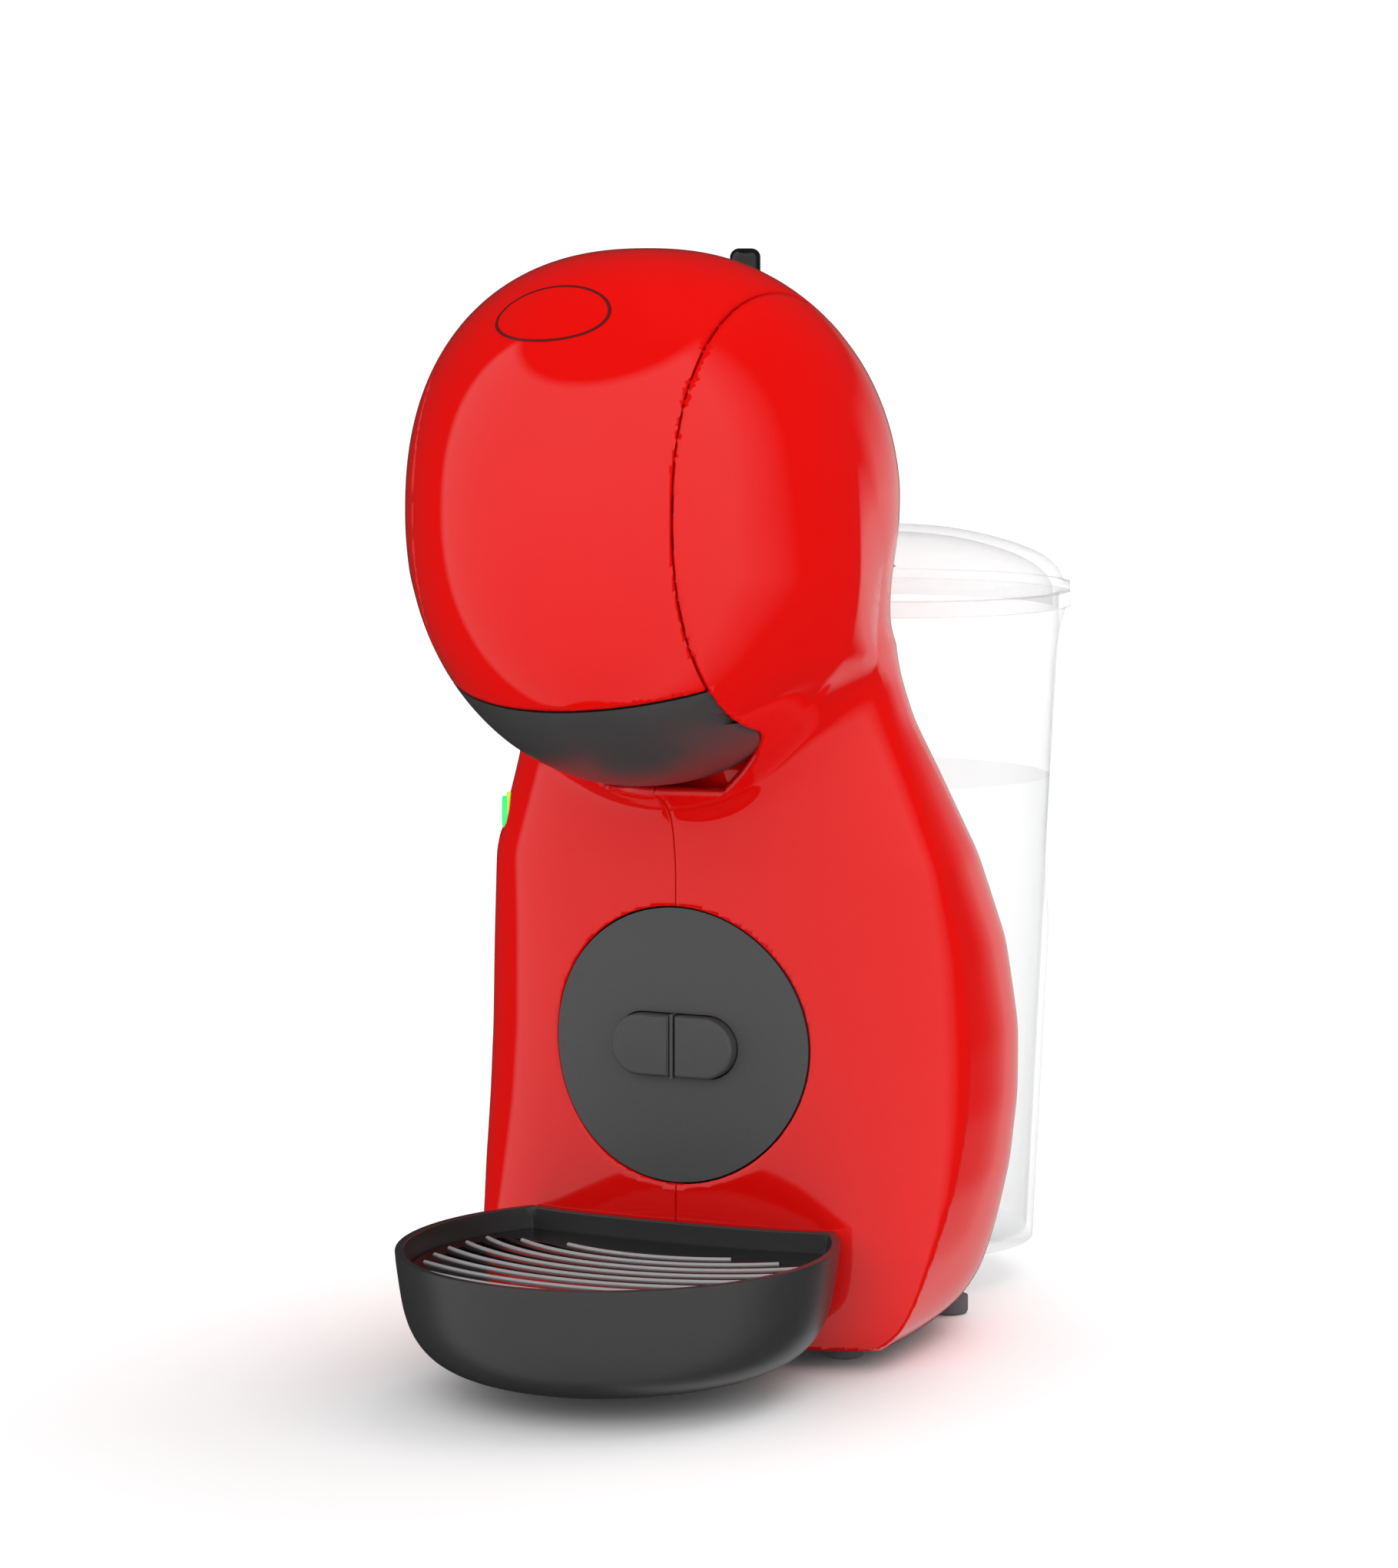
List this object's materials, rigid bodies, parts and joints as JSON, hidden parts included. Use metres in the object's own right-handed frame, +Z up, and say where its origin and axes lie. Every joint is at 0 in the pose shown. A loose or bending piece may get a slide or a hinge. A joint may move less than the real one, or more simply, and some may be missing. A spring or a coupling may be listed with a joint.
{
  "type": "pod coffee machine",
  "caption": "Round-headed countertop pod coffee machine with a lifting visor, sliding capsule drawer, split hot and cold key, drip tray and clear rear water tank.",
  "frame": {"origin": "centre of the footprint on the table plane under the feet", "axes": "+Z up, the user stands on the -Y side, +X is to the right when facing the front"},
  "size_m": [0.136, 0.274, 0.2853],
  "materials": {
    "shell_red": "glossy moulded red plastic",
    "visor_red": "glossy moulded red plastic",
    "spine_red": "satin red plastic",
    "black_gloss": "glossy black plastic",
    "black_satin": "satin black plastic",
    "disc_grey": "fine matte dark grey plastic",
    "badge_dark": "dark printed-look inlay",
    "steel": "plain steel",
    "rubber_black": "matte rubber",
    "rubber_grey": "soft grey rubber",
    "green_light": "translucent green key",
    "ring_light": "translucent yellow-green ring",
    "frame_grey": "moulded dark plastic",
    "white_plastic": "moulded pale plastic",
    "board_green": "circuit board laminate",
    "part_grey": "moulded electrical housings",
    "aluminium_cast": "cast aluminium",
    "hose_clear": "milky silicone tube",
    "tank_clear": "clear rigid plastic",
    "lid_clear": "clear rigid plastic, faintly frosted"
  },
  "bodies": {
    "machine": {"left_shell": "shell_red", "right_shell": "shell_red", "rear_spine": "spine_red", "hinge_block": "black_satin", "hinge_pin": "steel", "holder_rails": "black_satin", "brew_head": "frame_grey", "front_disc": "disc_grey", "key_fin": "disc_grey", "switch_board": "board_green", "hot_switch": "part_grey", "cold_switch": "part_grey", "power_ring": "ring_light", "power_switch": "part_grey", "base_plate": "black_satin", "seat_coupling": "rubber_grey", "chassis": "frame_grey", "control_board": "board_green", "board_parts": "part_grey", "pump": "part_grey", "pump_mount_low": "rubber_black", "pump_mount_high": "rubber_black", "heater": "aluminium_cast", "heater_clamp": "steel", "thermostat": "white_plastic", "inlet_pipe": "hose_clear", "feed_pipe": "hose_clear", "brew_pipe": "hose_clear", "cord_inlet": "rubber_black", "floor_screws": "steel", "foot_rear_left": "rubber_black", "foot_rear_right": "rubber_black", "foot_front_left": "rubber_black", "foot_front_right": "rubber_black"},
    "visor": {"visor": "visor_red", "visor_badge": "badge_dark", "crown_knob": "black_gloss"},
    "injector": {"injector_plate": "frame_grey", "injector_seal": "rubber_grey", "injector_needle": "steel"},
    "capsule_drawer": {"capsule_holder": "black_satin", "capsule_ring": "steel"},
    "hot_key": {"hot_pad": "disc_grey"},
    "cold_key": {"cold_pad": "disc_grey"},
    "power_key": {"power_button": "green_light"},
    "drip_tray": {"drip_tray": "black_gloss", "tray_foot": "rubber_black"},
    "drip_grid": {"drip_grid": "black_gloss"},
    "water_tank": {"water_tank": "tank_clear"},
    "tank_valve": {"tank_valve": "white_plastic"},
    "tank_lid": {"tank_lid": "lid_clear"}
  },
  "joints": [
    {"name": "visor_lift", "type": "hinge", "parent": "machine", "child": "visor", "pos_m": [0, 0.0115, 0.253], "axis": [-1, 0, 0], "range_deg": [0, 55]},
    {"name": "injector_lift", "type": "slide", "parent": "machine", "child": "injector", "axis": [0, 0, 1], "range_m": [0, 0.0101]},
    {"name": "capsule_slide", "type": "slide", "parent": "machine", "child": "capsule_drawer", "axis": [0, -1, 0], "range_m": [0, 0.0601]},
    {"name": "hot_press", "type": "slide", "parent": "machine", "child": "hot_key", "axis": [0, 1, 0], "range_m": [0, 0.0015], "stiffness_N_per_m": 600},
    {"name": "cold_press", "type": "slide", "parent": "machine", "child": "cold_key", "axis": [0, 1, 0], "range_m": [0, 0.0015], "stiffness_N_per_m": 600},
    {"name": "power_press", "type": "slide", "parent": "machine", "child": "power_key", "axis": [0.8729, 0.4879, 0], "range_m": [0, 0.0012], "stiffness_N_per_m": 400},
    {"name": "tray_pull", "type": "slide", "parent": "machine", "child": "drip_tray", "axis": [0, -1, 0], "range_m": [0, 0.11]},
    {"name": "grid_lift", "type": "slide", "parent": "drip_tray", "child": "drip_grid", "axis": [0, 0, 1], "range_m": [0, 0.04]},
    {"name": "tank_lift", "type": "slide", "parent": "machine", "child": "water_tank", "axis": [0, 0, 1], "range_m": [0, 0.06]},
    {"name": "valve_push", "type": "slide", "parent": "water_tank", "child": "tank_valve", "axis": [0, 0, 1], "range_m": [0, 0.0015], "stiffness_N_per_m": 150},
    {"name": "lid_lift", "type": "slide", "parent": "water_tank", "child": "tank_lid", "axis": [0, 0, 1], "range_m": [0, 0.05]}
  ],
  "couplings": [
    {"joint": "injector_lift", "follows": "visor_lift", "m_per_rad": 0.010417},
    {"joint": "capsule_slide", "follows": "visor_lift", "m_per_rad": 0.062504}
  ]
}
